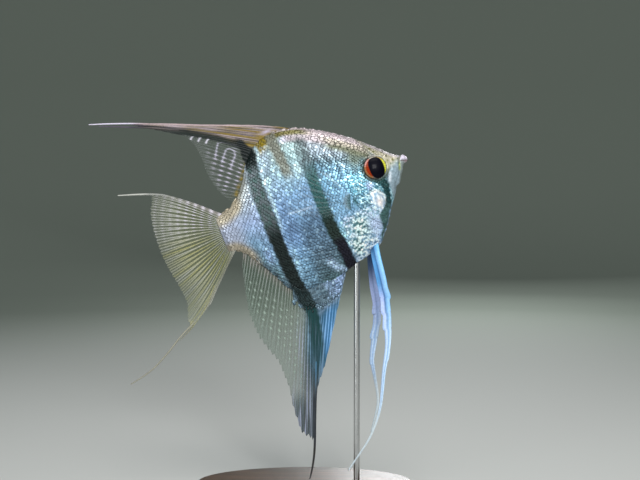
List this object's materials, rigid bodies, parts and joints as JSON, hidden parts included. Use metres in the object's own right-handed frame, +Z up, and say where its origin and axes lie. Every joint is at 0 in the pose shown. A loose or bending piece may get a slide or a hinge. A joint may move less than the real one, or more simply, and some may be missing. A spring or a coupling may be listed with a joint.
{
  "type": "freshwater angelfish on a display stand",
  "caption": "Life-size model of a freshwater angelfish, deep banded body with tall trailing fins, swimming nose up above an oval display base on a rod.",
  "frame": {"origin": "centre of the oval base's underside, on the surface the stand rests on", "axes": "+Z up, +X the way the fish faces, +Y to the fish's left"},
  "size_m": [0.149, 0.062, 0.1708],
  "materials": {
    "skin": "silvery scales with olive and dark green-black bars, satin to glossy",
    "gill_cover": "turquoise, sparkling, glossy",
    "eye": "wet, orange-red iris round a black pupil",
    "fin": "thin ribbed membrane, satin",
    "pelvic_fin": "blue-white rays, satin",
    "base": "oiled walnut",
    "rod": "satin"
  },
  "bodies": {
    "root": {"head": "skin", "lower_jaw": "skin", "gill_cover_right": "gill_cover", "gill_cover_left": "gill_cover", "trunk": "skin", "tail_stalk": "skin", "eye_right": "eye", "eye_left": "eye", "dorsal_fin": "fin", "anal_fin": "fin", "tail_fin": "fin", "pectoral_fin_right": "fin", "pectoral_fin_left": "fin", "pelvic_fin_right": "pelvic_fin", "pelvic_fin_left": "pelvic_fin", "stand_base": "base", "stand_rod": "rod"}
  },
  "joints": []
}
